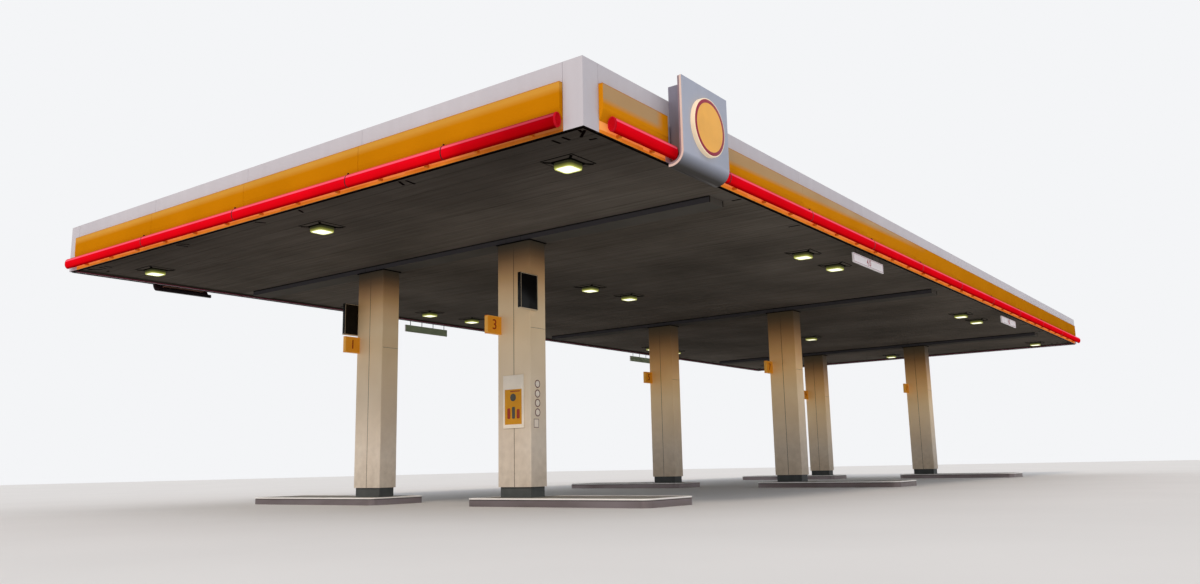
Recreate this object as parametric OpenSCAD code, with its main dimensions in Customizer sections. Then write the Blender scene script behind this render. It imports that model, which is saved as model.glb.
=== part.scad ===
// Filling station canopy: a flat roof behind a deep lit fascia, carried by two lines of
// clad columns on kerbed islands. Millimetres, +X along the long side, +Z up, origin on
// the ground below the middle of the roof.

/* [Canopy] */
// Length of the roof over the fascia panels
length = 27200; // [25500:50:30000]
// Width of the roof over the fascia panels
width = 11940; // [11000:20:13500]
// Height of the fascia's lower edge above the ground
underside = 4300; // [4000:10:5200]
// Height of the fascia from its lower edge to the coping
fascia_h = 830; // [780:10:1000]
// Rise of the ceiling above the fascia's lower edge
ceiling_rise = 60; // [40:5:90]

/* [Fascia] */
// Thickness of the folded fascia skin
skin = 10; // [6:1:16]
// Width of a fascia panel between two joints
panel_w = 2630; // [2200:10:3200]
// Width of the white corner panel on each side of a corner
corner_w = 287; // [240:1:400]
// Width of the coping over the parapet
coping_w = 110; // [90:5:160]
// Width of the return under the fascia
return_w = 42; // [35:1:90]
// Width of an open joint between two panels
joint = 5; // [3:1:10]
// Section of a square fascia post
post_s = 50; // [40:5:60]

/* [Visor band] */
// Height of the flat strip below the visor
strip_h = 139; // [100:1:170]
// Thickness of the flat strip
strip_t = 4; // [3:1:8]
// Height of the curved visor
visor_h = 445; // [300:5:460]
// Height of the visor's curved lower part
visor_curve = 175; // [120:5:250]
// Projection of the visor at its upper edge
visor_out = 62; // [40:1:80]
// Width of the band's opening for a sign cabinet
cut_w = 1060; // [1010:5:1120]

/* [Light tube] */
// Depth of the oval light tube
tube_d = 116; // [80:1:120]
// Height of the oval light tube
tube_h = 180; // [140:1:190]
// Distance of the tube's axis in front of the fascia
tube_out = 80; // [78:1:110]
// Height of the tube's axis above the fascia's lower edge
tube_z = 120; // [110:1:130]
// Distance of a tube's joint from the panel joint beside it
tube_shift = 170; // [100:5:250]
// Length at which a tube is made in two halves
tube_max = 3150; // [2900:50:3500]
// Setback of the tube's end from the band's end on the long sides
tube_in_long = 135; // [60:5:200]
// Setback of the tube's end from the band's end on the short sides
tube_in_short = 10; // [10:5:100]
// Reach of the tube past the band's end at a sign cabinet
tube_past = 105; // [0:5:110]
// Length of the tube's end cap
cap_w = 25; // [16:1:50]
// Thickness of the end cap's wall
cap_t = 2; // [1:1:4]
// Chamfer of the end cap
cap_c = 12; // [6:1:14]
// Width of a cradle under the tube
cradle_w = 30; // [20:1:50]
// Depth of a cradle's foot below the tube
cradle_foot = 12; // [8:1:20]
// Height over which a cradle holds the tube
cradle_lap = 22; // [16:1:30]
// Nominal distance between two cradles
cradle_pitch = 870; // [700:10:1100]

/* [Sign cabinets] */
// Distance of the front cabinet's middle from the roof's end
sign_end = 2200; // [1700:10:4000]
// Distance of the back cabinet's middle from the roof's end
sign_end_back = 2320; // [1700:10:4000]
// Width of the sign's face plate
plate_w = 1144; // [1130:2:1400]
// Thickness of the face plate
plate_t = 60; // [40:1:80]
// Distance of the plate's face in front of the fascia
plate_out = 300; // [260:1:360]
// Rise of the plate above the coping
plate_rise = 235; // [200:1:300]
// Drop of the plate's foot below the fascia
plate_drop = 100; // [20:1:120]
// Outer radius of the plate's foot
foot_r = 190; // [150:1:220]
// Distance of the plate's turned-in edge from the fascia
foot_in = 73; // [20:1:90]
// Width of the cabinet behind the plate
box_w = 820; // [700:10:840]
// Rise of the cabinet above the coping
box_rise = 190; // [60:1:195]
// Diameter of the raised disc on the plate
disc_d = 770; // [500:10:800]
// Depth of the raised disc
disc_t = 60; // [30:1:90]
// Height of the disc's middle above the fascia's lower edge
disc_z = 510; // [500:5:600]

/* [Ceiling] */
// Nominal width of a ceiling pan
pan_w = 395; // [300:5:500]
// Height of a pan's upstand
pan_h = 40; // [30:1:50]
// Thickness of the pan sheet
pan_t = 3; // [2:1:5]
// Width of the open joint between two pans
pan_joint = 12; // [8:1:20]
// Width of the perimeter angle's level leg
trim_w = 20; // [15:1:60]
// Thickness of the perimeter angle
trim_t = 4; // [3:1:6]

/* [Beam covers] */
// Width of a beam cover
cover_w = 400; // [395:1:450]
// Depth of a beam cover below the ceiling
cover_drop = 95; // [60:1:120]
// Distance of a cover's end from the fascia
cover_end = 450; // [150:5:600]

/* [Roof] */
// Depth of a main beam
beam_h = 300; // [240:10:340]
// Width of a main beam's flange
beam_w = 200; // [150:10:240]
// Depth of a purlin
purlin_h = 120; // [100:5:150]
// Width of a purlin's flange
purlin_w = 60; // [50:5:80]
// Lines of purlins
purlins = 7; // [5:1:8]
// Depth of a rib in the roof sheet
rib_h = 40; // [30:1:50]
// Nominal distance between two ribs
rib_w = 333; // [250:1:400]

/* [Columns] */
// Distance of an outer row of columns from the roof's end
row_end = 3730; // [3300:10:4500]
// Distance between the two columns of a row
column_pitch = 3560; // [3200:10:4200]
// Width of a column casing along the roof
column_w = 390; // [340:5:390]
// Depth of a column casing across the roof
column_d = 700; // [600:5:800]
// Thickness of the casing sheet
casing_t = 8; // [5:1:10]
// Open seam between the two halves of a casing
seam = 6; // [3:1:10]
// Radius of the casing's corners
casing_r = 15; // [10:1:25]
// Height of the recessed skirt under the casing
skirt_h = 158; // [120:1:220]
// Setback of the skirt behind the casing
skirt_in = 30; // [20:1:45]
// Side of the square steel post
core_s = 220; // [180:5:230]
// Overhang of the collar at the column's head
collar_out = 22; // [10:1:30]
// Thickness of the collar
collar_t = 14; // [8:1:20]

/* [Islands] */
// Width of an island
island_w = 1240; // [1100:10:1400]
// Length of an island
island_l = 3490; // [3000:10:3700]
// Height of an island
island_h = 129; // [100:1:180]
// Distance from an island's inner end to the column's middle
island_in = 660; // [500:10:900]
// Radius of an island's corners
island_r = 143; // [100:1:200]
// Thickness of the kerb sheet
kerb_t = 8; // [6:1:12]
// Radius of the kerb's rolled edge
kerb_r = 11; // [8:1:14]

/* [Lights] */
// Side of a light's ceiling plate
plate_s = 480; // [400:10:560]
// Side of a light's drop box
drop_s = 290; // [240:5:330]
// Depth of the drop box below the ceiling
drop_h = 95; // [50:1:120]
// Distance of the outer lights from the roof's edges
light_edge = 1060; // [800:10:1300]
// Distance between the two lights of a pair
light_pair = 1455; // [1200:5:2000]
// Shift of a pair from the middle of its bay towards the middle row
light_shift = 50; // [0:10:200]

/* [Signs] */
// Width of a height board
board_w = 1434; // [1000:2:1800]
// Height of a height board
board_h = 172; // [120:1:220]
// Drop of the board's top below the fascia
board_drop = 115; // [60:1:160]
// Distance of a board's middle from the return's inner edge
board_edge = 7; // [4:1:15]
// Shift of a board from the middle of its bay, to the left as seen from outside
board_shift = 175; // [0:5:300]
// Projection of a number flag
flag_w = 335; // [250:1:400]
// Height of a number flag
flag_h = 296; // [240:1:360]
// Thickness of the flags and blade signs
flag_t = 67; // [40:1:80]
// Height of a number flag's foot above the ground
flag_z = 2743; // [2400:1:2800]
// Width of a blade sign
blade_w = 425; // [300:1:450]
// Height of a blade sign
blade_h = 545; // [400:1:600]
// Height of a blade sign's foot above the ground
blade_z = 3125; // [3120:1:3300]
// Part of the blade sign that lies on the column
blade_lap = 125; // [90:1:180]

/* [Hidden] */
$fn = 48;
hx = length / 2;
hy = width / 2;
coping_z = underside + fascia_h;
ceiling_z = underside + ceiling_rise;
pan_top = ceiling_z + pan_h;
beam_z = pan_top + 10;
purlin_z = beam_z + beam_h;
roof_z = purlin_z + purlin_h;
cover_z = ceiling_z - cover_drop;
casing_z = island_h + skirt_h;
casing_top = cover_z - collar_t;
inside = skin + post_s;
row_pitch = hx - row_end;
column_y = column_pitch / 2;
rows = [-1, 0, 1];
ends = [-1, 1];
sides = [0, 90, 180, 270];

// Points of an arc about c from angle a0 to a1.
function arc(c, r, a0, a1, n) = [for (i = [0:n]) let (a = a0 + (a1 - a0) * i / n)
    c + r * [cos(a), sin(a)]];

// Half the length of a side and its distance from the roof's middle.
function long_side(side) = side % 180 == 0;
function half_of(side) = long_side(side) ? hx : hy;
function out_of(side) = long_side(side) ? hy : hx;

// Places of the panel joints along a side, in rising order: even panels on the long
// sides, and on the short ones whole panels from one corner and a longer last one.
function band_end(side) = half_of(side) - corner_w;
function seams(side) = let (span = 2 * band_end(side), even = long_side(side),
    n = even ? round(span / panel_w) : floor(span / panel_w), w = even ? span / n : panel_w)
    [for (k = [n - 1:-1:1]) span / 2 - k * w];

// Stretches of a band along a side, from corner panel to corner panel, parted at the
// joints and at the opening for a sign cabinet, c to each side of the cabinet's middle.
function sign_at(side) = side == 180 ? hx - sign_end : side == 0 ? sign_end_back - hx : undef;
function clipped(a, b, s, c) = s == undef ? [[a, b]]
    : concat(a < s - c ? [[a, min(b, s - c)]] : [], b > s + c ? [[max(a, s + c), b]] : []);
function parted(side, p, c) = [for (i = [0:len(p) - 2]) for (s = clipped(p[i], p[i + 1], sign_at(side), c)) s];
function stretches(side) = let (e = band_end(side), p = concat([-e], seams(side), [e]))
    [for (s = parted(side, p, cut_w / 2)) if (s[1] - s[0] > 4 * cradle_w) s];

// Stands a drawing on a side: u along it, v outward from the fascia, z up.
module on_side(side) rotate([0, 0, side]) translate([0, out_of(side), 0]) children();

// Runs a (v, z) profile along u.
module run(u0, u1) rotate([90, 0, 90]) translate([0, 0, u0]) linear_extrude(u1 - u0) children();

// Runs an (x, z) profile along y, from -reach to reach.
module across(reach) rotate([90, 0, 0]) linear_extrude(2 * reach, center = true) children();

module rounded(w, d, r) {
    square([w - 2 * r, d], center = true);
    square([w, d - 2 * r], center = true);
    for (x = ends, y = ends) translate([x * (w / 2 - r), y * (d / 2 - r)]) circle(r);
}

// Column i of six: 0 to 2 along the front line, 3 to 5 along the back.
function column_at(i) = [row_pitch * (i % 3 - 1), column_y * (i < 3 ? -1 : 1), 0];
function island_at(i) = column_at(i) + [0, (i < 3 ? -1 : 1) * (island_l / 2 - island_in), 0];

module island(i) color("#8e8a82") translate(island_at(i))
    linear_extrude(island_h - kerb_t / 2) rounded(island_w - 2 * kerb_t, island_l - 2 * kerb_t, island_r - kerb_t);

// Kerb section: an upright sheet, a rolled nose and a return over the concrete.
module kerb_section() {
    translate([-kerb_t, 0]) square([kerb_t, island_h - kerb_r]);
    intersection() {
        translate([-kerb_r / 2, island_h - kerb_r]) circle(kerb_r);
        translate([-kerb_t, 0]) square([3 * kerb_r, island_h]);
    }
    translate([-5 * kerb_t, island_h - kerb_t / 2]) square([5 * kerb_t - kerb_r / 2, kerb_t / 2]);
}

module kerb_ring() {
    a = island_w / 2 - island_r;
    b = island_l / 2 - island_r;
    for (turn = [0, 180]) rotate([0, 0, turn]) {
        translate([0, island_l / 2, 0]) run(-a, a) kerb_section();
        rotate([0, 0, 90]) translate([0, island_w / 2, 0]) run(-b, b) kerb_section();
        translate([a, b, 0]) rotate_extrude(angle = 90) translate([island_r, 0]) kerb_section();
        translate([-a, b, 0]) rotate([0, 0, 90]) rotate_extrude(angle = 90) translate([island_r, 0]) kerb_section();
    }
}

module island_kerbs() color("#aab0b8") for (i = [0:5]) translate(island_at(i)) kerb_ring();

// A casing is two folded halves that meet at an open seam on the wide faces, each with
// a flange at the foot and at the head.
module casing_half() {
    lip = skirt_in + 2 * casing_t;
    module half() intersection() {
        children();
        translate([-column_w, seam / 2]) square([2 * column_w, column_d]);
    }
    linear_extrude(casing_top - casing_z) half() difference() {
        rounded(column_w, column_d, casing_r);
        square([column_w - 2 * casing_t, column_d - 2 * casing_t], center = true);
    }
    for (z = [0, casing_top - casing_z - casing_t]) translate([0, 0, z])
        linear_extrude(casing_t) half() difference() {
            rounded(column_w, column_d, casing_r);
            square([column_w - 2 * lip, column_d - 2 * lip], center = true);
        }
}

module column(i) color("#d8c9ae") translate(column_at(i) + [0, 0, casing_z])
    for (turn = [0, 180]) rotate([0, 0, turn]) casing_half();

// Hollow steel post from the island to the main beam, on a base plate.
module column_posts() color("#7d8084") for (i = [0:5]) translate(column_at(i)) {
    top = beam_z;
    z0 = island_h - kerb_t / 2;
    translate([0, 0, z0]) linear_extrude(top - z0) difference() {
        square(core_s, center = true);
        square(core_s - 24, center = true);
    }
    translate([0, 0, z0]) linear_extrude(20)
        square([column_w - 2 * skirt_in - 4 * casing_t - 10, column_d - 2 * skirt_in - 4 * casing_t - 10], center = true);
}

module column_skirts() color("#3d4043") for (i = [0:5]) translate(column_at(i) + [0, 0, island_h - kerb_t / 2])
    linear_extrude(casing_z - island_h + kerb_t / 2) difference() {
        square([column_w - 2 * skirt_in, column_d - 2 * skirt_in], center = true);
        square([column_w - 2 * skirt_in - 4 * casing_t, column_d - 2 * skirt_in - 4 * casing_t], center = true);
    }

module column_collars() color("#141414") for (i = [0:5]) translate(column_at(i) + [0, 0, casing_top])
    linear_extrude(collar_t) difference() {
        square([column_w + 2 * collar_out, column_d + 2 * collar_out], center = true);
        square(core_s, center = true);
    }

// Folded channel under a main beam, closed at its ends, with a flat piece on to the edge.
module beam_cover(row) color("#8b877e") translate([row * row_pitch, 0, 0]) {
    reach = hy - cover_end;
    difference() {
        translate([-cover_w / 2, -reach, cover_z]) cube([cover_w, 2 * reach, pan_top - cover_z]);
        translate([-cover_w / 2 + pan_t, -reach + pan_t, cover_z + pan_t])
            cube([cover_w - 2 * pan_t, 2 * reach - 2 * pan_t, pan_top - cover_z]);
        for (y = ends) translate([0, y * column_y, cover_z])
            linear_extrude(4 * pan_t, center = true) square(core_s, center = true);
    }
    for (y = ends) translate([-cover_w / 2, y < 0 ? -hy + return_w - trim_t : reach, ceiling_z])
        cube([cover_w, cover_end - return_w + trim_t, pan_t]);
}

module main_beams() color("#6c7074") for (row = rows) translate([row * row_pitch, 0, beam_z])
    across(hy - inside) {
        for (z = [0, beam_h - 14]) translate([-beam_w / 2, z]) square([beam_w, 14]);
        translate([-5, 0]) square([10, beam_h]);
    }

// Lipped channels along the roof, evenly spaced between the fascia posts.
function purlin_y(k) = (hy - inside - purlin_w / 2) * (2 * k / (purlins - 1) - 1);
module purlin_lines() color("#9aa0a6") for (k = [0:purlins - 1]) translate([0, purlin_y(k), purlin_z])
    run(-hx + inside, hx - inside) difference() {
        translate([-purlin_w / 2, 0]) square([purlin_w, purlin_h]);
        translate([-purlin_w / 2 + 4, 4]) square([purlin_w, purlin_h - 8]);
    }

// Bay b of the ceiling: folded pans between two beam covers, or a cover and the end.
function bay_edge(b) = b == 0 ? -hx + return_w - trim_t : -row_pitch + (b - 1) * row_pitch + cover_w / 2;
function bay_end(b) = b == 3 ? hx - return_w + trim_t : -row_pitch + b * row_pitch - cover_w / 2;
module ceiling(b) color("#948f85") {
    w = bay_end(b) - bay_edge(b);
    n = round(w / pan_w);
    p = w / n;
    edge = pan_joint / 2;
    translate([bay_edge(b), 0, ceiling_z]) across(hy - return_w + trim_t) {
        for (i = [0:n - 1]) translate([i * p, 0]) {
            translate([edge, 0]) square([p - pan_joint, pan_t]);
            for (x = [edge, p - edge - pan_t]) translate([x, 0]) square([pan_t, pan_h]);
        }
        for (i = [1:n - 1]) translate([i * p - edge - pan_t, pan_h - pan_t]) square([pan_joint + 2 * pan_t, pan_t]);
        for (x = [0, w - edge - pan_t]) translate([x, pan_h - pan_t]) square([edge + pan_t, pan_t]);
    }
}

// Angle under the ceiling's edge, one length on each side.
module ceiling_trims() color("#b5b1a8") for (side = sides) on_side(side) {
    e = half_of(side) - return_w - (long_side(side) ? 0 : trim_w);
    run(-e, e) {
        translate([-return_w, underside + skin]) square([trim_t, ceiling_rise - skin]);
        translate([-return_w - trim_w, ceiling_z - trim_t]) square([trim_w + trim_t, trim_t]);
    }
}

// Trapezoidal roof sheet with its ribs across the roof.
module roof_sheet() color("#c9cdd0") {
    w = length - 2 * inside;
    n = round(w / rib_w);
    p = w / n;
    rib = [[0, 0], [p * 0.62, 0], [p * 0.70, rib_h], [p * 0.92, rib_h]];
    top = [for (i = [0:n - 1]) for (q = rib) [i * p + q[0], q[1]]];
    line = concat(top, [[w, 0]]);
    under = [for (k = [len(line) - 1:-1:0]) line[k]];
    translate([-w / 2, 0, roof_z]) across(hy - inside)
        polygon(concat([for (q = line) q + [0, pan_t]], under));
}

// Fascia section: skin, coping with its drip, and the return below.
module fascia_section() {
    c = coping_w;
    polygon([[0, underside], [0, coping_z], [-c, coping_z], [-c, coping_z - 40], [-c + skin, coping_z - 40],
        [-c + skin, coping_z - skin], [-skin, coping_z - skin], [-skin, underside + skin],
        [-return_w, underside + skin], [-return_w, underside]]);
}

module fascia(side) color("#e9e7ea") on_side(side) difference() {
    run(-half_of(side) + corner_w + joint, half_of(side) - corner_w - joint) fascia_section();
    for (u = seams(side)) translate([u - joint / 2, -skin / 2, underside - 1]) cube([joint, skin, fascia_h + 2]);
}

module fascia_corners() color("#e9e7ea") for (x = ends, y = ends) mirror([x < 0 ? 1 : 0, 0, 0]) mirror([0, y < 0 ? 1 : 0, 0])
    intersection() {
        translate([hx - corner_w, hy - corner_w, 0]) cube([2 * corner_w, 2 * corner_w, coping_z + 1]);
        union() {
            on_side(0) run(0, hx) fascia_section();
            mirror([1, -1, 0]) translate([0, hx, 0]) run(0, hy) fascia_section();
        }
    }

// Upright posts behind the skin, from the ceiling pans to the coping: at the panel joints
// on the long sides, and at the purlins' ends on the short ones.
function post_places(side) = long_side(side) ? seams(side) : [for (k = [0:purlins - 1]) purlin_y(k)];
module fascia_posts() color("#9aa0a6") for (side = sides) on_side(side) for (u = post_places(side))
    translate([u - post_s / 2, -inside, pan_top]) cube([post_s, post_s, coping_z - skin - pan_top]);

// Visor section: a flat strip, an arc that comes forward, and an upright upper part.
module visor_section() {
    d = visor_out - strip_t;
    r = (d * d + visor_curve * visor_curve) / (2 * d);
    z = underside + strip_h;
    polygon(concat([[0, underside], [strip_t, underside]],
        arc([visor_out - r, z + visor_curve], r, -asin(visor_curve / r), 0, 12),
        [[visor_out, z + visor_h], [0, z + visor_h]]));
}

module visor(side) color("#f0a516") on_side(side) for (s = stretches(side))
    run(s[0] + joint / 2, s[1] - joint / 2) visor_section();

// Cradles stand evenly along each stretch of the band.
function cradle_places(side) = [for (s = stretches(side))
    let (l = s[1] - s[0], n = max(1, round(l / cradle_pitch))) for (k = [0:n - 1]) s[0] + (k + 0.5) * l / n];
function held(c, t) = c > t[0] + cap_w + cradle_w && c < t[1] - cap_w - cradle_w;

// Tube lengths along a side: their joints lie beside the panel joints, a long one is made
// in two halves, and they reach past the band's ends at a sign cabinet.
function tube_end(side) = band_end(side) - (long_side(side) ? tube_in_long : tube_in_short);
function tube_joints(side) = let (s = long_side(side) ? -tube_shift : tube_shift, e = tube_end(side),
    j = [for (k = seams(side)) k + s]) concat(j[0] + e > tube_max ? [(j[0] - e) / 2] : [], j);
function tube_spans(side) = let (e = tube_end(side), p = concat([-e], tube_joints(side), [e]))
    [for (t = parted(side, p, cut_w / 2 - tube_past))
        if (len([for (c = cradle_places(side)) if (held(c, t)) c]) > 0) t];
function meeting(spans, u) = len([for (t = spans) for (k = t) if (k == u) k]) > 1;

module tube_slice(grow) polygon([for (a = [0:10:350])
    [tube_out + (tube_d / 2 + grow) * cos(a), underside + tube_z + (tube_h / 2 + grow) * sin(a)]]);

// Cap at u, its closed end towards -u where way is 1 and towards +u where it is -1.
module tube_cap(u, way) translate([u, 0, 0]) mirror([way < 0 ? 1 : 0, 0, 0]) {
    run(cap_c, cap_w) tube_slice(cap_t);
    hull() {
        run(0, 1) tube_slice(cap_t - cap_c);
        run(cap_c - 1, cap_c) tube_slice(cap_t);
    }
}

// A tube length ends plain where it meets the next one, and has a chamfered cap elsewhere.
module tube_length(t, plain) {
    run(t[0] + (plain[0] ? joint / 2 : cap_c), t[1] - (plain[1] ? joint / 2 : cap_c)) tube_slice(0);
    if (!plain[0]) tube_cap(t[0], 1);
    if (!plain[1]) tube_cap(t[1], -1);
}

module tube(side) color("#d8101f") on_side(side) {
    spans = tube_spans(side);
    for (t = spans) tube_length(t, [meeting(spans, t[0]), meeting(spans, t[1])]);
}

// Cradle section: a toe from the strip that the tube lies in.
module cradle_section() difference() {
    translate([strip_t, underside + tube_z - tube_h / 2 - cradle_foot])
        square([tube_out - 5 * strip_t, cradle_foot + cradle_lap]);
    tube_slice(0.2);
}

module tube_cradles() color("#c9cdd0") for (side = sides) on_side(side) for (t = tube_spans(side))
    for (c = cradle_places(side)) if (held(c, t)) run(c - cradle_w / 2, c + cradle_w / 2) cradle_section();

// A cabinet stands on each long side, both at the same end of the roof.
module at_signs() for (side = [0, 180]) on_side(side) translate([sign_at(side), 0, 0]) children();

// Plate section: upright face, quarter-round foot, and a level edge turned in under it.
foot_c = [plate_out - foot_r, underside - plate_drop + foot_r];
module plate_section() {
    z = underside - plate_drop;
    top = coping_z + plate_rise;
    polygon(concat([[foot_in, z]], arc(foot_c, foot_r, -90, 0, 12), [[plate_out, top], [plate_out - plate_t, top]],
        arc(foot_c, foot_r - plate_t, 0, -90, 12), [[foot_in, z + plate_t]]));
}

// Cabinet section: fills the plate's back down to the fascia's lower edge.
module cabinet_section() {
    r = foot_r - plate_t;
    polygon(concat([[0, underside]], arc(foot_c, r, -asin((foot_r - plate_drop) / r), 0, 10),
        [[plate_out - plate_t, coping_z + box_rise], [0, coping_z + box_rise]]));
}
module sign_cabinets() color("#9c9a9c") at_signs() run(-box_w / 2 + joint, box_w / 2 - joint) cabinet_section();

module sign_plates() color("#e9e7ea") at_signs() run(-plate_w / 2, plate_w / 2) plate_section();

module sign_discs() color("#f4b13c") at_signs() translate([0, plate_out, underside + disc_z])
    rotate([-90, 0, 0]) cylinder(d = disc_d, h = disc_t, $fn = 96);

// Lights stand in three lines: single ones in the end bays, pairs in the bays between rows.
pair_mid = row_pitch / 2 - light_shift;
light_x = [for (x = ends) for (m = [hx - light_edge, pair_mid + light_pair / 2, pair_mid - light_pair / 2]) x * m];
light_y = [for (k = rows) k * (hy - light_edge)];
module at_lights() for (x = light_x, y = light_y) translate([x, y, ceiling_z]) children();

module light_housings() color("#dcd8cc") at_lights() difference() {
    union() {
        translate([0, 0, -10]) linear_extrude(10) square(plate_s, center = true);
        translate([0, 0, -drop_h]) linear_extrude(drop_h) rounded(drop_s, drop_s, 20);
    }
    translate([0, 0, -drop_h - 1]) linear_extrude(drop_h - 30) rounded(drop_s - 20, drop_s - 20, 14);
}

module light_lenses() color("#fff7dc") at_lights() translate([0, 0, -drop_h + 4])
    linear_extrude(14) rounded(drop_s - 20, drop_s - 20, 14);

// Boards hang from the return of the long fascias in the two bays between the rows.
module height_boards() color("#e4e0e2") for (x = ends, y = ends)
    translate([x * row_pitch / 2 + y * board_shift, y * (hy - return_w + board_edge),
        underside - board_drop - board_h]) {
        translate([-board_w / 2, -15, 0]) cube([board_w, 30, board_h]);
        for (u = ends) translate([u * board_w * 0.36 - 12, -3, board_h]) cube([24, 6, board_drop]);
    }

// Flags stand out from the wide faces at the columns' outer edge on the back line, and
// at the inner edge on the front line.
module number_flags() color("#e39a1e") for (i = [0:5]) translate(column_at(i)) for (x = ends)
    translate([x < 0 ? -column_w / 2 - flag_w : column_w / 2, column_d / 2 - flag_t - casing_r, flag_z])
        cube([flag_w, flag_t, flag_h]);

// Blade signs lap onto the narrow outer face of the first row's columns, and stand out
// towards the roof's end.
module blade_signs() color("#151515") for (i = [0, 3]) translate(column_at(i))
    mirror([1, 0, 0]) mirror([0, i < 3 ? 1 : 0, 0])
        translate([column_w / 2 - blade_lap, column_d / 2, blade_z]) cube([blade_w, flag_t, blade_h]);

island(0);  // island_1
island(1);  // island_2
island(2);  // island_3
island(3);  // island_4
island(4);  // island_5
island(5);  // island_6
island_kerbs();
column(0);  // column_1
column(1);  // column_2
column(2);  // column_3
column(3);  // column_4
column(4);  // column_5
column(5);  // column_6
column_posts();
column_skirts();
column_collars();
beam_cover(-1);  // beam_cover_left
beam_cover(0);  // beam_cover_middle
beam_cover(1);  // beam_cover_right
main_beams();
purlin_lines();  // purlins
ceiling(0);  // ceiling_1
ceiling(1);  // ceiling_2
ceiling(2);  // ceiling_3
ceiling(3);  // ceiling_4
ceiling_trims();
roof_sheet();
fascia(180);  // fascia_front
fascia(0);  // fascia_back
fascia(90);  // fascia_left
fascia(270);  // fascia_right
fascia_corners();
fascia_posts();
visor(180);  // visor_front
visor(0);  // visor_back
visor(90);  // visor_left
visor(270);  // visor_right
tube(180);  // tube_front
tube(0);  // tube_back
tube(90);  // tube_left
tube(270);  // tube_right
tube_cradles();
sign_cabinets();
sign_plates();
sign_discs();
light_housings();
light_lenses();
height_boards();
number_flags();
blade_signs();
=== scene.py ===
"""Finishes and fine parts of a filling station canopy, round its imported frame."""

import math

import bmesh
import bpy
import numpy as np
from mathutils import Matrix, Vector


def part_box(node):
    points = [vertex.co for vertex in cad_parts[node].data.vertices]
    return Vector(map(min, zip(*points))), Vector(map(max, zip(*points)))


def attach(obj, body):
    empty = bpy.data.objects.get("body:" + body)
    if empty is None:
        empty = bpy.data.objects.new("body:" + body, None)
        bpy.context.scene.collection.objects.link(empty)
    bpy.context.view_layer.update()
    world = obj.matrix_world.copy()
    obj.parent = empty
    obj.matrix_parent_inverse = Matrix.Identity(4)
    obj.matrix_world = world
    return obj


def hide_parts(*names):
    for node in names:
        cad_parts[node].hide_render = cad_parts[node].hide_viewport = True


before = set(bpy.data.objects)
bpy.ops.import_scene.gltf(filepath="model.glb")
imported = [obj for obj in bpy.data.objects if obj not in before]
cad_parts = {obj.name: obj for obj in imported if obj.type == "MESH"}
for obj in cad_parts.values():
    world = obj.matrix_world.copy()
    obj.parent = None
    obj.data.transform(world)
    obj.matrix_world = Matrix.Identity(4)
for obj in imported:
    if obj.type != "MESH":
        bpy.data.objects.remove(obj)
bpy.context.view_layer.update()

# Heights and half sizes of the roof, read from the frame
HALF_X, HALF_Y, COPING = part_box("fascia_corners")[1]
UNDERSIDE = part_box("fascia_corners")[0].z
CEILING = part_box("ceiling_2")[0].z
KERB_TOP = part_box("island_kerbs")[1].z
CASING_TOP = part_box("column_1")[1].z
COLUMN_Y = (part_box("column_4")[0].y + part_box("column_4")[1].y) / 2

# From the end of a beam cover's box to the plate that closes the cover
COVER_END = 0.412

# The four sides, as turns about Z in degrees
SIDES = {"front": 180, "back": 0, "left": 90, "right": 270}

# Camera: place in metres, turn from +Y towards +X, tilt up and roll in degrees, lens in mm
CAMERA_AT = (-21.601, -12.050, 0.5795)
CAMERA_YAW = 53.589
CAMERA_PITCH = 10.378
CAMERA_ROLL = -1.200
CAMERA_LENS = 28.583


# Surfaces


def solids(node):
    """Boxes of a node's separate solids, as (lowest, highest) corners.

    Vertices at one place are one point. Each point takes the lowest label among the
    corners of its triangles until none changes, and each label left is a solid."""
    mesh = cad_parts[node].data
    points = np.empty(len(mesh.vertices) * 3)
    mesh.vertices.foreach_get("co", points)
    corners = np.empty(len(mesh.loops), int)
    mesh.loops.foreach_get("vertex_index", corners)
    places, who = np.unique(np.round(points.reshape(-1, 3), 5), axis=0, return_inverse=True)
    triangles = who.reshape(-1)[corners].reshape(-1, 3)
    label = np.arange(len(places))
    while True:
        lower = label.copy()
        np.minimum.at(lower, triangles, label[triangles].min(axis=1)[:, None])
        if (lower == label).all():
            break
        label = lower
    return [(places[label == k].min(axis=0), places[label == k].max(axis=0)) for k in np.unique(label)]


def skin(rings, closed=False):
    """Surface through rings of points, rings[i, j] being point j of ring i.

    A quad joins points j and j + 1 of ring i to those of ring i + 1. A polygon closes the
    first ring and the last, or with closed the last ring joins the first."""
    n, m = rings.shape[:2]
    i, j = np.meshgrid(np.arange(n if closed else n - 1), np.arange(m), indexing="ij")
    near = i * m
    far = (i + 1) % n * m
    quads = np.stack([near + j, near + (j + 1) % m, far + (j + 1) % m, far + j], -1)
    faces = quads.reshape(-1, 4).tolist()
    if not closed:
        faces += [list(range(m))[::-1], list(range((n - 1) * m, n * m))]
    return rings.reshape(-1, 3), faces


def arc(x, y, radius, start, end, steps):
    """Points of an arc about (x, y), at even angles from start to end in degrees."""
    t = np.radians(np.linspace(start, end, steps + 1))
    return np.stack([x + radius * np.cos(t), y + radius * np.sin(t)], 1)


def outline(w, d, radius, steps=6):
    """Rectangle of w by d about the origin, a quarter circle of that radius at each corner."""
    turn = np.arange(4)[:, None] * np.pi / 2
    t = turn + np.linspace(0, np.pi / 2, steps + 1)
    x = np.array([1, -1, -1, 1])[:, None] * (w / 2 - radius) + radius * np.cos(t)
    y = np.array([1, 1, -1, -1])[:, None] * (d / 2 - radius) + radius * np.sin(t)
    return np.stack([x, y], -1).reshape(-1, 2)


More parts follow.
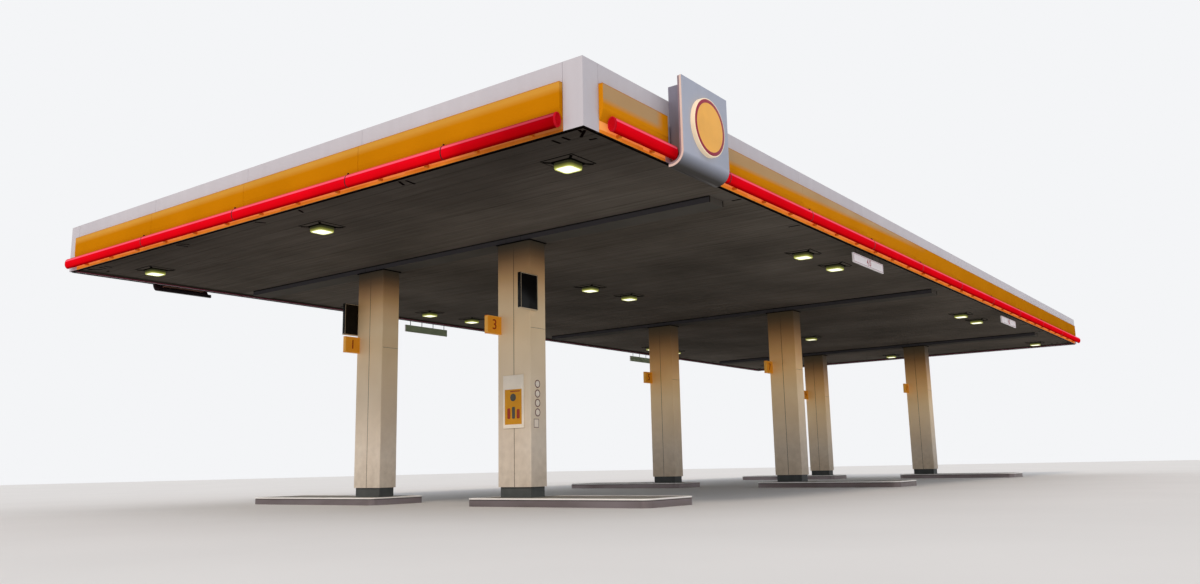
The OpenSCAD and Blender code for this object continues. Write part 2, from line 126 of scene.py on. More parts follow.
def block(lo, hi, radius=0.004, edge=0.002, axis=2):
    """Box from lo to hi with rounded corners along an axis and chamfered ends.

    Four rings of one rounded outline, the first and last drawn in by edge."""
    lo, hi = np.array(lo, float), np.array(hi, float)
    a, b = [k for k in range(3) if k != axis]
    middle, size = (lo + hi) / 2, hi - lo
    rings = []
    for inset, place in ((edge, lo[axis]), (0, lo[axis] + edge), (0, hi[axis] - edge), (edge, hi[axis])):
        flat = outline(size[a] - 2 * inset, size[b] - 2 * inset, max(radius - inset, 0.0005))
        ring = np.empty((len(flat), 3))
        ring[:, a] = middle[a] + flat[:, 0]
        ring[:, b] = middle[b] + flat[:, 1]
        ring[:, axis] = place
        rings.append(ring)
    return skin(np.array(rings))


def on_side(side, u, v, z):
    """Points u along a side, v outward from its fascia and z up, as one (..., 3) array."""
    turn = np.radians(side)
    out = (HALF_Y if side % 180 == 0 else HALF_X) + v
    x = u * np.cos(turn) - out * np.sin(turn)
    y = u * np.sin(turn) + out * np.cos(turn)
    return np.stack(np.broadcast_arrays(x, y, z), -1)


def along(side, start, end, profile, edge=0.002):
    """A closed (v, z) profile carried straight along a side from u = start to u = end.

    Four rings: the first and last lie at the ends and are drawn in by edge."""
    v, z = np.transpose(profile)
    small_v = np.clip(v, v.min() + edge, v.max() - edge)
    small_z = np.clip(z, z.min() + edge, z.max() - edge)
    rings = [on_side(side, start, small_v, small_z), on_side(side, start + edge, v, z),
             on_side(side, end - edge, v, z), on_side(side, end, small_v, small_z)]
    return skin(np.array(rings))


def spans(node, side):
    """Stretches that a node's solids take along a side, as sorted (start, end) pairs."""
    turn = np.radians(side)
    way = np.array([np.cos(turn), np.sin(turn), 0])
    return sorted(tuple(sorted((lo @ way, hi @ way))) for lo, hi in solids(node))


def moved(parts, places):
    """Copies of some parts, moved to each of the places."""
    return [(part[0] + np.array(place), *part[1:]) for place in places for part in parts]


def turned(points, c, s):
    """Points turned about Z by the angle whose cosine is c and whose sine is s."""
    return points @ np.array([[c, s, 0], [-s, c, 0], [0, 0, 1]])


def border(lo, hi, width, radius=0.004, edge=0.002):
    """Four bars of a width along the edges of the box lo to hi, seen along Y."""
    (a, near, c), (b, far, d) = lo, hi
    bars = ((a, c, b, c + width), (a, d - width, b, d), (a, c, a + width, d), (b - width, c, b, d))
    return [block((x0, near, z0), (x1, far, z1), radius, edge) for x0, z0, x1, z1 in bars]


def painted(parts, index):
    """The same parts, given the piece's material of that index."""
    return [(points, faces, index) for points, faces, *_ in parts]


# Pieces


def piece(name, parts, materials, replaces=(), crease=40):
    """Joins parts into one object that rides on the frame, faces outward, smooth under crease."""
    points, faces, finish = [], [], []
    start = 0
    for part_points, part_faces, *index in parts:
        points.append(part_points)
        faces += [[k + start for k in face] for face in part_faces]
        finish += [index[0] if index else 0] * len(part_faces)
        start += len(part_points)
    mesh = bpy.data.meshes.new(name)
    mesh.from_pydata(np.concatenate(points).tolist(), [], faces)
    mesh.polygons.foreach_set("material_index", finish)
    shape = bmesh.new()
    shape.from_mesh(mesh)
    bmesh.ops.recalc_face_normals(shape, faces=shape.faces)
    shape.to_mesh(mesh)
    shape.free()
    mesh.polygons.foreach_set("use_smooth", [True] * len(mesh.polygons))
    mesh.set_sharp_from_angle(angle=math.radians(crease))
    for finish_material in materials:
        mesh.materials.append(finish_material)
    obj = bpy.data.objects.new(name, mesh)
    bpy.context.scene.collection.objects.link(obj)
    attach(obj, "root")
    if replaces:
        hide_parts(*replaces)


def dress(nodes, finish):
    """Gives kept nodes of the frame a material."""
    for name in nodes:
        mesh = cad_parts[name].data
        mesh.materials.clear()
        mesh.materials.append(finish)


# Materials


def linear(code):
    """Linear RGBA of an sRGB hex colour."""
    c = np.array([int(code[k:k + 2], 16) for k in (1, 3, 5)]) / 255
    c = np.where(c <= 0.04045, c / 12.92, ((c + 0.055) / 1.055) ** 2.4)
    return (*c.tolist(), 1.0)


def add(kind, inputs=None, tree=None, stops=(), **settings):
    """Adds a shader node with its settings to a tree, or else to the tree of what feeds it.

    Each input is a value, or the socket that feeds it. Stops are a ramp's (place, colour)
    pairs."""
    inputs = inputs or {}
    feeds = {key: value for key, value in inputs.items() if isinstance(value, bpy.types.NodeSocket)}
    tree = tree or next(iter(feeds.values())).id_data
    node = tree.nodes.new("ShaderNode" + kind)
    for name, value in settings.items():
        setattr(node, name, value)
    for key, value in inputs.items():
        if key in feeds:
            tree.links.new(value, node.inputs[key])
        else:
            node.inputs[key].default_value = value
    ramp = node.color_ramp.elements if stops else []
    while len(ramp) < len(stops):
        ramp.new(1.0)
    for element, (place, colour) in zip(ramp, stops):
        element.position = place
        element.color = linear(colour)
    return node


def begin(name, **surface):
    """A new material: it, its Principled surface and its object coordinates."""
    made = bpy.data.materials.new(name)
    made.use_nodes = True
    tree = made.node_tree
    tree.nodes.clear()
    values = {key.replace("_", " "): value for key, value in surface.items()}
    face = add("BsdfPrincipled", values, tree)
    add("OutputMaterial", {"Surface": face.outputs[0]})
    return made, face, add("TexCoord", tree=tree).outputs["Object"]


def feed(face, value, *sockets):
    """Links a value to a surface's sockets of those names, or else to its base colour."""
    for name in sockets or ["Base Color"]:
        face.id_data.links.new(value, face.inputs[name])


def rising(place, axis, low, high, first=0.0, last=1.0):
    """Goes evenly from first to last as a place goes from low to high on an axis, and no further."""
    way = add("SeparateXYZ", {0: place}).outputs[axis]
    return add("MapRange", {0: way, 1: low, 2: high, 3: first, 4: last}).outputs[0]


def layered(base, *coats):
    """A base colour under coats laid in turn, each (how it blends, its share, its colour)."""
    for blend, share, colour in coats:
        base = add("Mix", {0: share, 6: base, 7: colour}, data_type="RGBA", blend_type=blend).outputs[2]
    return base


def noise(place, size, stretch, detail):
    """Noise in patches of a size in metres, over coordinates that are stretched first."""
    spread = add("Mapping", {"Vector": place, "Scale": stretch}).outputs[0]
    return add("TexNoise", {"Vector": spread, "Scale": 1 / size, "Detail": detail}).outputs[0]


def mottled(place, size, low, high, stretch=(1, 1, 1)):
    """A colour that drifts between two, in patches of a size in metres."""
    share = noise(place, size, stretch, 3.0)
    return add("ValToRGB", {0: share}, stops=[(0.3, low), (0.7, high)]).outputs[0]


def grain(face, place, size, depth, strength=1.0, stretch=(1, 1, 1)):
    """Bump of a noise, its patches and its depth in metres."""
    height = noise(place, size, stretch, 2.0)
    bump = add("Bump", {"Height": height, "Distance": depth, "Strength": strength})
    feed(face, bump.outputs[0], "Normal")


def painted_aluminium(name, light, dark, low, high, foot):
    """Coil-coated aluminium sheet: satin white, faintly wavy, with rain streaks.

    Above the height high it has its own colour, below low that of its foot, which is painted shade."""
    made, face, place = begin(name, Roughness=0.4, Specular_IOR_Level=0.12)
    streaks = mottled(place, 0.16, "#E2DFDC", "#FFFFFF", stretch=(1, 1, 0.12))
    body = layered(mottled(place, 1.8, dark, light), ("MULTIPLY", 0.15, streaks))
    # The foot colour under low is painted shade, not the sheet's own colour
    feed(face, layered(linear(foot), ("MIX", rising(place, "Z", low, high), body)))
    grain(face, place, 0.7, 0.004, 0.5)
    return made


def amber_acrylic(name, amber, sky_reflection, edge, rise=None, dim=1.0):
    """Vacuum-formed acrylic sheet: deep amber where it curves, and above an edge a paler painted reflection
    of the sky.

    With rise, (x, x further on, metres), the edge climbs along X between the two places and the
    painted reflection then ends; the first length's end face and the stretch beside the sign stay
    amber. Towards the far end the amber falls to the share dim. A darker tan band along the rolled
    top edge is painted shade."""
    made, face, place = begin(name, Roughness=0.36, Specular_IOR_Level=0.0)
    edges = [edge - 0.04, edge + 0.04]
    most = 1.0
    if rise:
        near, far, climb = rise
        edges = [rising(place, "X", near, far, z, z + climb) for z in edges]
        start, sign = [-u for u in reversed(spans("visor_front", SIDES["front"])[-1])]
        most = rising(place, "X", sign - 0.26, sign - 0.12, 1.0, 0.0)
        most = rising(place, "X", sign + 0.12, sign + 0.26, most, 1.0)
        most = rising(place, "X", start + 0.004, start + 0.008, 0.0, most)
        most = rising(place, "X", far - 0.5, far + 1.5, most, 0.0)
    fade = rising(place, "X", -HALF_X, HALF_X, 1.0, dim)
    # Darker tan along the rolled top edge: painted shade
    top = layered(linear("#B87430"), ("MULTIPLY", 1.0, fade))
    # Above the edges the paler colour is a painted reflection of the sky
    feed(face, layered(mottled(place, 0.9, *amber), ("MULTIPLY", 1.0, fade),
                       ("MIX", rising(place, "Z", *edges, 0.0, most), mottled(place, 1.3, *sky_reflection)),
                       ("MIX", rising(place, "Z", VISOR_TOP - 0.016, VISOR_TOP - 0.006), top)))
    grain(face, place, 0.5, 0.003, 0.3)
    return made


def lamp_light(place, worn):
    """Light of the lamps along Y: between the places in worn, (dim, bright), a worn lamp gives less."""
    stops = [(0.0, "#B0A4A4"), (0.8, "#DCD4D4"), (1.0, "#FFFFFF")]
    return add("ValToRGB", {0: rising(place, "Y", *worn)}, stops=stops).outputs[0]


def lit_strip_acrylic(name, axis, pitch, worn=None):
    """Amber acrylic strip under the tube, with the tube's light painted on: it glows, though it holds no
    lamp, and a pale painted pool of light lies along its upper part.

    The pool's lower edge rises evenly from each cradle to the next, a pitch further along the axis.
    For worn see lamp_light: there the strip takes less of the painted light."""
    made, face, place = begin(name, Roughness=0.4, Specular_IOR_Level=0.0, Emission_Strength=0.4)
    half = pitch / 2
    way = add("SeparateXYZ", {0: place}).outputs[axis]
    steps = add("Math", {0: way, 1: pitch, 2: -half}, operation="WRAP").outputs[0]
    edges = [add("MapRange", {0: steps, 1: -half, 2: half, 3: z, 4: z + 0.018}).outputs[0]
             for z in (UNDERSIDE + 0.024, UNDERSIDE + 0.032)]
    patches = mottled(place, 0.3, "#E8D4C0", "#FFFFFF", stretch=(1, 1, 0.3))
    colour = layered(linear("#DE8A30"), ("MULTIPLY", 1.0, patches),
                     ("MIX", rising(place, "Z", *edges), linear("#E89850")))
    if worn:
        colour = layered(colour, ("MULTIPLY", 1.0, lamp_light(place, worn)))
    # Painted light: the tube's light as the strip's colour and glow
    feed(face, colour, "Base Color", "Emission Color")
    return made


def red_acrylic(name, worn=None):
    """Extruded red acrylic tube with lamps inside: clear red, with a pink painted reflection of the sky along
    its upper face and painted shade along its underside.

    For worn see lamp_light."""
    made, face, place = begin(name, Roughness=0.32, Specular_IOR_Level=0.0, Emission_Strength=0.4)
    share = rising(place, "Z", TUBE_Z - TUBE_HALF_Z, TUBE_Z + TUBE_HALF_Z)
    # Painted light up the tube: dark red below is painted shade, the pink band a painted reflection of the
    # sky, dull red above it
    glow = add("ValToRGB", {0: share}, stops=[
        (0.0, "#8C0004"), (0.14, "#CC0610"), (0.60, "#D00618"), (0.65, "#B40416"), (0.68, "#E84C60"),
        (0.80, "#E85870"), (0.86, "#C04440"), (1.0, "#B03C34")]).outputs[0]
    glow = layered(glow, ("MULTIPLY", 1.0, mottled(place, 0.6, "#F0F0F0", "#FFFFFF")))
    if worn:
        glow = layered(glow, ("MULTIPLY", 1.0, lamp_light(place, worn)))
    feed(face, glow, "Base Color", "Emission Color")
    return made


def red_polycarbonate(name, light, dark):
    """Moulded polycarbonate end cap: opaque, darker than the tube."""
    made, face, place = begin(name, Roughness=0.35, Specular_IOR_Level=0.0)
    feed(face, mottled(place, 0.08, dark, light))
    return made


def ceiling_enamel():
    """Roll-formed steel pans with grey-brown polyester enamel: half gloss, drawn along the pan.

    Its dark grey-brown is partly painted shade of the unlit ceiling. Towards the left edge more painted shade
    darkens it."""
    made, face, place = begin("ceiling_enamel", Roughness=0.45, Specular_IOR_Level=0.0)
    # Painted shade, darker towards the left edge
    dirt_and_shade = layered(linear("#C6C4C6"), ("MIX", rising(place, "X", -HALF_X, -9.9), linear("#FFFFFF")))
    drawn = mottled(place, 0.05, "#BEB8AE", "#FFFFFF", stretch=(1, 0.03, 1))
    # The dark grey-brown is partly the enamel's own colour and partly painted shade
    feed(face, layered(mottled(place, 2.4, "#57524C", "#6F6962"), ("MULTIPLY", 1.0, dirt_and_shade),
                       ("MULTIPLY", 0.5, drawn)))
    grain(face, place, 0.09, 0.0015, 0.5, stretch=(1, 0.05, 1))
    return made


def cover_enamel():
    """The pans' enamel on a beam cover, with painted shade: its upright sides darker, a near-black line
    where they meet the ceiling, its flat foot a little lighter.

    Its end faces, and the closing plates beyond them, are painted light, as light as the pans."""
    made, face, place = begin("cover_enamel", Roughness=0.45, Specular_IOR_Level=0.0)
    lo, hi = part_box("beam_cover_left")
    end = hi.y - COVER_END
    # Painted shade on the upright sides, near black under the ceiling
    top = rising(place, "Z", CEILING - 0.022, CEILING - 0.014)
    upright = layered(linear("#474548"), ("MIX", top, linear("#1C1A1A")))
    # Painted light: the end faces and closing plates lifted to the pans' tone
    out = rising(place, "Y", end - 0.004, end - 0.002)
    out = rising(place, "Y", 0.002 - end, 0.004 - end, 1.0, out)
    feed(face, layered(mottled(place, 1.5, "#4C4A46", "#585550"),
                       ("MIX", rising(place, "Z", lo.z + 0.002, lo.z + 0.004), upright),
                       ("MIX", out, linear("#625D57"))))
    grain(face, place, 0.3, 0.001, 0.3)
    return made


def casing_enamel():
    """Folded steel sheet with cream polyester enamel: satin, dusty at the foot, and darkened at the head
    by painted shade.

    The ceiling lights' warmth is painted on, as a warmer tint and a faint glow though it is no lamp,
    more on the columns further in and above eye level, and there the painted shade reaches lower."""
    made, face, place = begin("casing_enamel", Roughness=0.42, Specular_IOR_Level=0.2, Emission_Strength=0.15)
    # Painted warm light of the ceiling lights, growing with height and further in
    outward, inward = [rising(place, "Z", 0.9, 2.8, 0.2 * most, most) for most in (0.1, 1.0)]
    base = layered(mottled(place, 0.8, "#E8DCCE", "#F1E8DC"), ("MULTIPLY", inward, linear("#FBEED4")))
    dusty = layered(base, ("MULTIPLY", 1.0, mottled(place, 0.12, "#D8D6D4", "#EBEAE9")))
    # Painted shade at the casing's head under the ceiling
    reach = rising(place, "X", -8.0, 0.0, CASING_TOP - 1.1, CASING_TOP - 1.95)
    head = rising(place, "Z", reach, CASING_TOP)
    head_shade = add("ValToRGB", {0: head}, stops=[
        (0.0, "#FFFFFF"), (0.30, "#F6EADC"), (0.48, "#DCC6AE"), (0.64, "#B6A08A"), (0.78, "#867668"),
        (0.90, "#5C5856"), (1.0, "#484A4E")]).outputs[0]
    feed(face, layered(dusty, ("MIX", rising(place, "Z", KERB_TOP + 0.2, KERB_TOP + 1.9), base),
                       ("MULTIPLY", 1.0, head_shade)))
    # Painted light: a faint warm glow of the lamps' spill
    light = rising(place, "X", -HALF_X, 0.0, outward, inward)
    spill = layered(linear("#000000"), ("MIX", light, linear("#FFC458")), ("MULTIPLY", 1.0, head_shade))
    feed(face, spill, "Emission Color")
    grain(face, place, 0.5, 0.003, 0.4)
    return made


def plain_enamel(name, light, dark, roughness=0.4, shine=0.15):
    """Baked enamel on sheet steel: even, with a faint drift of tone.

    Its orange peel is drawn at 20 mm, coarser than it is, so that it shows."""
    made, face, place = begin(name, Roughness=roughness, Specular_IOR_Level=shine)
    feed(face, mottled(place, 0.2, dark, light))
    grain(face, place, 0.02, 0.0003, 0.3)
    return made


def trim_enamel():
    """Grey-brown enamel on the ceiling's edge trims, with the red light of the tubes painted on its foot."""
    made, face, place = begin("trim_enamel", Roughness=0.4, Specular_IOR_Level=0.0)
    # Painted light: the tubes' red at the foot
    share = rising(place, "Z", UNDERSIDE + 0.024, UNDERSIDE + 0.032)
    feed(face, layered(linear("#8A3A50"), ("MIX", share, mottled(place, 0.5, "#3A352F", "#453F38"))))
    return made


def rolled_steel():
    """Rolled steel kerb section: scuffed dull side, and a painted highlight along its nose.

    A dark painted shadow line lies under the nose, and the nose is painted matt white as a highlight."""
    made, face, place = begin("rolled_kerb_steel", Roughness=0.38)
    # Painted highlight on the nose and painted shadow under it
    nose = (KERB_TOP - 0.024, KERB_TOP - 0.020)
    dirt_and_shade = rising(place, "Z", KERB_TOP - 0.036, KERB_TOP - 0.032)
    feed(face, layered(mottled(place, 0.5, "#6A5E5C", "#908688", stretch=(0.3, 0.3, 1)),
                       ("MIX", dirt_and_shade, linear("#2C2624")),
                       ("MIX", rising(place, "Z", *nose), linear("#FFFCF8"))))
    feed(face, rising(place, "Z", *nose, 0.85, 0.0), "Metallic")
    grain(face, place, 0.2, 0.001, 0.3)
    return made


def galvanised_steel(name, light, dark, roughness=0.36):
    """Hot-dip galvanised sheet: dull metal whose zinc spangle shows as soft patches.

    The spangle is drawn at 30 mm, coarser than it is, so that it shows."""
    made, face, place = begin(name, Metallic=0.9)
    spangle = add("TexVoronoi", {"Vector": place, "Scale": 1 / 0.03}).outputs["Color"]
    grey = add("RGBToBW", {0: spangle}).outputs[0]
    feed(face, add("ValToRGB", {0: grey}, stops=[(0.2, dark), (0.8, light)]).outputs[0])
    rough = add("MapRange", {0: grey, 3: roughness - 0.06, 4: roughness + 0.1}).outputs[0]
    feed(face, rough, "Roughness")
    grain(face, place, 0.15, 0.001, 0.4)
    return made


def cast_concrete():
    """Trowelled concrete: grey-brown, blotched, with sand grain.

    The grains are drawn at 6 to 8 mm, coarser than they are, so that they show."""
    made, face, place = begin("cast_concrete", Roughness=0.85)
    sand = mottled(place, 0.006, "#C4C0B8", "#FFFFFF")
    feed(face, layered(mottled(place, 0.4, "#7E7A72", "#98948B"), ("MULTIPLY", 0.5, sand)))
    grain(face, place, 0.008, 0.001, 0.6)
    return made


def lit_acrylic(name, colour, strength):
    """Opal acrylic with lamps behind it: even, soft, faintly cloudy."""
    made, face, place = begin(name, Roughness=0.3, Specular_IOR_Level=0.3, Emission_Strength=strength)
    cloud = layered(linear(colour), ("MULTIPLY", 1.0, mottled(place, 0.4, "#F0EEEC", "#FFFFFF")))
    feed(face, cloud, "Base Color", "Emission Color")
    return made


def prismatic_lens():
    """Pressed glass lens, lit: small square prisms over a white glow.

    The prisms are drawn at 18 mm, coarser than they are, so that they show."""
    made, face, place = begin("prismatic_lens", Roughness=0.15, Emission_Strength=1.0)
    cells = add("TexVoronoi", {"Vector": place, "Scale": 1 / 0.018, "Randomness": 0.0},
                distance="CHEBYCHEV").outputs[0]
    glow = add("ValToRGB", {0: cells}, stops=[(0.30, "#FFFFF2"), (0.52, "#FFFBD0")]).outputs[0]
    rim = rising(place, "Z", CEILING - LAMP_DROP + 0.0005, CEILING - LAMP_DROP + 0.005)
    feed(face, layered(glow, ("MIX", rim, linear("#E4E484"))), "Base Color", "Emission Color")
    return made


def lamp_enamel():
    """White enamelled drop box, painted near black for the shade it hangs in, with the lens's spill painted
    on as a glow though it is no lamp: olive-lit at its foot, dark above.
    """
    made, face, place = begin("lamp_enamel", Roughness=0.4, Specular_IOR_Level=0.2, Emission_Strength=0.8)
    glow = add("ValToRGB", {0: rising(place, "Z", CEILING - LAMP_DROP, CEILING)}, stops=[
        (0.0, "#D8DC70"), (0.15, "#8C8E3A"), (0.5, "#33341A"), (1.0, "#000000")])
    feed(face, glow.outputs[0], "Emission Color")
    # Near black for white enamel: painted shade
    feed(face, mottled(place, 0.1, "#24221C", "#2A2822"))
    return made


def cabinet_enamel():
    """Grey enamelled sheet of a sign cabinet, brown to rust-brown towards its foot: a painted reflection of
    the red tube and amber strip below it.
    """
    made, face, place = begin("cabinet_enamel", Roughness=0.4, Specular_IOR_Level=0.3)
    # Towards the foot a painted reflection of the tube and strip
    tone = add("ValToRGB", {0: rising(place, "Z", UNDERSIDE, COPING + 0.2)}, stops=[
        (0.0, "#A07668"), (0.2, "#7E6C6A"), (0.5, "#787480"), (0.9, "#8A889A")]).outputs[0]
    drawn = mottled(place, 0.09, "#E6E2E0", "#FFFFFF", stretch=(1, 1, 0.1))
    feed(face, layered(tone, ("MULTIPLY", 1.0, drawn)))
    grain(face, place, 0.3, 0.002, 0.4)
    return made


def roof_coating():
    """Coated trapezoidal steel sheet: pale grey, chalked by weather, dirt in the troughs."""
    made, face, place = begin("roof_coating", Roughness=0.55)
    dirt_and_shade = mottled(place, 0.3, "#9A958C", "#FFFFFF", stretch=(1, 0.2, 1))
    feed(face, layered(mottled(place, 1.5, "#B4B8BA", "#C6CACC"), ("MULTIPLY", 0.5, dirt_and_shade)))
    grain(face, place, 0.05, 0.0008, 0.4)
    return made


# Visor bands and light tubes

STRIP_H = 0.139
STRIP_T = 0.004
VISOR_FOOT = UNDERSIDE + STRIP_H
VISOR_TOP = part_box("visor_front")[1].z
VISOR_OUT = -HALF_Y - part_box("visor_front")[0].y
VISOR_CURVE = 0.175
VISOR_ROLL = 0.008
TUBE_LO, TUBE_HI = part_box("tube_front")
CAP_T = 0.002
CAP_W = 0.025
CAP_C = 0.012
TUBE_V = -HALF_Y - (TUBE_LO.y + TUBE_HI.y) / 2
TUBE_Z = (TUBE_LO.z + TUBE_HI.z) / 2
TUBE_HALF_V = (TUBE_HI.y - TUBE_LO.y) / 2 - CAP_T
TUBE_HALF_Z = (TUBE_HI.z - TUBE_LO.z) / 2 - CAP_T

# How far the far tube lengths stop short of the roof's end
FAR_GAP = {"front": 0.0, "left": 0.10}

# From one cradle of a tube to the next
CRADLE_PITCH = {"front": 0.88753, "back": 0.88753, "left": 0.87667, "right": 0.87667}


def visor_profile():
    """(v, z) outline: an arc tangent to the upright face, a rolled upper edge and a level ledge."""
    deep = VISOR_OUT - STRIP_T
    radius = (deep ** 2 + VISOR_CURVE ** 2) / (2 * deep)
    sweep = math.degrees(math.asin(VISOR_CURVE / radius))
    curve = arc(VISOR_OUT - radius, VISOR_FOOT + VISOR_CURVE, radius, -sweep, 0, 20)
    roll = arc(VISOR_OUT - VISOR_ROLL, VISOR_TOP - VISOR_ROLL, VISOR_ROLL, 0, 90, 6)
    return [(0, VISOR_FOOT), *curve, *roll, (0, VISOR_TOP)]


def strip_profile():
    """(v, z) outline of the flat strip, with a small bead along its lower edge."""
    bead = arc(STRIP_T, UNDERSIDE + 0.005, 0.004, -90, 90, 6)
    return [(0, UNDERSIDE), *bead, (STRIP_T, VISOR_FOOT), (0, VISOR_FOOT)]


def oval_along(side, profile, steps=64):
    """A (u, grow) profile carried round the tube's oval section.

    At angle t its point lies at v = V + (A + grow) cos t and z = Z + (B + grow) sin t, with the
    tube's axis at (V, Z) and its half sizes A and B."""
    t = np.arange(steps) * 2 * np.pi / steps
    u, grow = np.transpose(profile)[..., None]
    v = TUBE_V + (TUBE_HALF_V + grow) * np.cos(t)
    return skin(on_side(side, u, v, TUBE_Z + (TUBE_HALF_Z + grow) * np.sin(t)))


def tube_body(side, start, end):
    """A tube length with slightly rounded rims."""
    rim = 0.003
    return oval_along(side, [(start, -rim), (start + rim, 0), (end - rim, 0), (end, -rim)])


def tube_cap(side, end, way):
    """A cap over a tube's end: a hollow face, a rounded nose and a short skirt with a fine lip."""
    nose = arc(CAP_C, CAP_T - CAP_C, CAP_C, 180, 90, 8)
    skirt = [(CAP_W - 0.002, CAP_T), (CAP_W, CAP_T - 0.002), (CAP_W, -0.001)]
    profile = [(0.006, -0.018), (0.001, -0.014), *nose, *skirt]
    return oval_along(side, [(end + way * u, grow) for u, grow in profile])


def tube_cap_face(side, end, way):
    """The plate that closes a cap, a little behind its rim."""
    return oval_along(side, [(end + way * 0.0045, -0.0185), (end + way * 0.007, -0.0175)])


def tube_clip(side, place):
    """A strap round the joint of two lengths, and the tab that hooks it to the band above."""
    half = 0.009
    strap = oval_along(side, [(place - half, -0.001), (place - half + 0.001, 0.0016),
                              (place + half - 0.001, 0.0016), (place + half, -0.001)])
    foot, head = TUBE_Z + TUBE_HALF_Z - 0.012, TUBE_Z + TUBE_HALF_Z + 0.026
    tab = [(TUBE_V - 0.016, foot), (TUBE_V + 0.020, foot), (TUBE_V + 0.010, head), (TUBE_V - 0.016, head)]
    return [strap, along(side, place - 0.004, place + 0.004, tab, 0.001)]


def visors_and_tubes():
    """The visor, its strip, the tube, its caps and clips on each side."""
    # Each visor's second pair of colours is a painted reflection of the sky
    tan = amber_acrylic("amber_acrylic_painted_sky_reflection", ("#D8880E", "#E09014"), ("#B8966C", "#C4A47C"),
                        VISOR_FOOT + 0.235, (-10.5, -3.5, 0.13), 0.66)
    short_side_amber = amber_acrylic("amber_acrylic", ("#C47A06", "#CC8008"), ("#CC9236", "#D89C40"), VISOR_FOOT + 0.345)
    cap = red_polycarbonate("red_polycarbonate", "#CC1C2A", "#C01424")
    # A darker copy of the caps' red for their recessed faces: painted shade
    cap_face = red_polycarbonate("dark_red_polycarbonate", "#C4101C", "#B80C18")
    clip = plain_enamel("brown_enamelled_steel", "#4A1216", "#3C0E12", 0.45)
    for name, side in SIDES.items():
        amber, axis = (short_side_amber, "Y") if name in ("left", "right") else (tan, "X")
        worn = (-5.66, -3.87) if name == "left" else None
        lit = lit_strip_acrylic("lit_strip_acrylic_" + name, axis, CRADLE_PITCH[name], worn)
        red = red_acrylic("red_acrylic_" + name, worn)
        bands = spans("visor_" + name, side)
        visor = [along(side, a, b, visor_profile(), 0.003) for a, b in bands]
        strip = [along(side, a, b, strip_profile(), 0.001) for a, b in bands]
        parts = visor + painted(strip, 1)
        piece("visor_band_" + name, parts, [amber, lit], ["visor_" + name])
        lengths = spans("tube_" + name, side)
        if name == "front":
            lengths[0] = (FAR_GAP[name] - HALF_X, lengths[0][1])
        if name == "left":
            lengths[-1] = (lengths[-1][0], HALF_Y - FAR_GAP[name])
        ends = sorted(place for length in lengths for place in length)
        met = [abs(b - a) < 0.02 for a, b in zip(ends, ends[1:])]
        plain = [False] + met + [False]
        bodies, caps, faces, clips = [], [], [], []
        for k, (a, b) in enumerate(lengths):
            first, last = plain[2 * k], plain[2 * k + 2]
            bodies.append(tube_body(side, a if first else a + CAP_C, b if last else b - CAP_C))
            for end, way, joined in ((a, 1, first), (b, -1, last)):
                caps += [] if joined else [tube_cap(side, end, way)]
                faces += [] if joined else [tube_cap_face(side, end, way)]
            if last:
                clips += tube_clip(side, (b + lengths[k + 1][0]) / 2)
        parts = bodies + painted(caps, 1) + painted(faces, 2) + painted(clips, 3)
        piece("light_tube_" + name, parts, [red, cap, cap_face, clip], ["tube_" + name])


# Sign plates and discs

FOOT_R = 0.190
FOOT_IN = 0.073
PLATE_FACE = 0.003
PLATE_CORE = 0.034
PLATE_T = 0.060
DISC_RING = 0.045


def j_profile(outer, inner, reach, foot, top):
    """(v, z) outline between two depths below a J: upright face, quarter-round foot, level edge."""
    v, z = reach - FOOT_R, foot + FOOT_R
    front = [(FOOT_IN, foot + outer), *arc(v, z, FOOT_R - outer, -90, 0, 16), (reach - outer, top)]
    back = [(reach - inner, top), *arc(v, z, FOOT_R - inner, 0, -90, 16), (FOOT_IN, foot + inner)]
    return front + back


def hung(lo, hi):
    """How a box hangs on a long side: the side, the box's start and end along it, and its depths."""
    side = SIDES["front"] if lo[1] < 0 else SIDES["back"]
    way = math.cos(math.radians(side))
    return side, *sorted((lo[0] * way, hi[0] * way)), *sorted((abs(lo[1]) - HALF_Y, abs(hi[1]) - HALF_Y))


def sign_plates():
    """Each plate is a white face on a cream acrylic core, with a grey channel behind them.

    The back plate's core is unlit, and it and its channel are painted dark: painted shade. The white face's
    darker foot is painted shade too."""
    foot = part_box("sign_plates")[0].z
    # The face's dark grey foot colour is painted shade under the J's curve
    white = painted_aluminium("plate_white_aluminium", "#B6BCCC", "#AEB4C5", foot + 0.02, foot + 0.17,
                              "#403E3C")
    cream = lit_acrylic("cream_acrylic_core", "#D8C0B6", 0.2)
    channel = plain_enamel("grey_channel_enamel", "#9A868E", "#8C7880")
    # Painted shade: a dark copy of the channel's enamel for the back plate
    shade = plain_enamel("shaded_channel_enamel", "#2A2426", "#221D1F", 0.5, shine=0.0)
    skins, cores, backs, shaded = [], [], [], []
    for lo, hi in solids("sign_plates"):
        side, start, end, _, reach = hung(lo, hi)
        core, inside = (cores, backs) if lo[1] < 0 else (shaded, shaded)
        bands = ((skins, 0, PLATE_FACE, 0), (core, PLATE_FACE, PLATE_CORE, 0.001),
                 (inside, PLATE_CORE, PLATE_T, 0.004))
        for parts, outer, inner, inset in bands:
            profile = j_profile(outer, inner, reach, lo[2], hi[2] - inset)
            parts.append(along(side, start + inset, end - inset, profile, 0.001))
    parts = skins + painted(cores, 1) + painted(backs, 2) + painted(shaded, 3)
    piece("sign_plate_skins", parts, [white, cream, channel, shade], ["sign_plates"])


def lathe_out(side, u, z, profile, steps=96):
    """A (v, radius) profile turned about the line through (u, z) square to a side."""
    t = np.arange(steps) * 2 * np.pi / steps
    v, radius = np.transpose(profile)[..., None]
    return skin(on_side(side, u + radius * np.cos(t), v, z + radius * np.sin(t)))


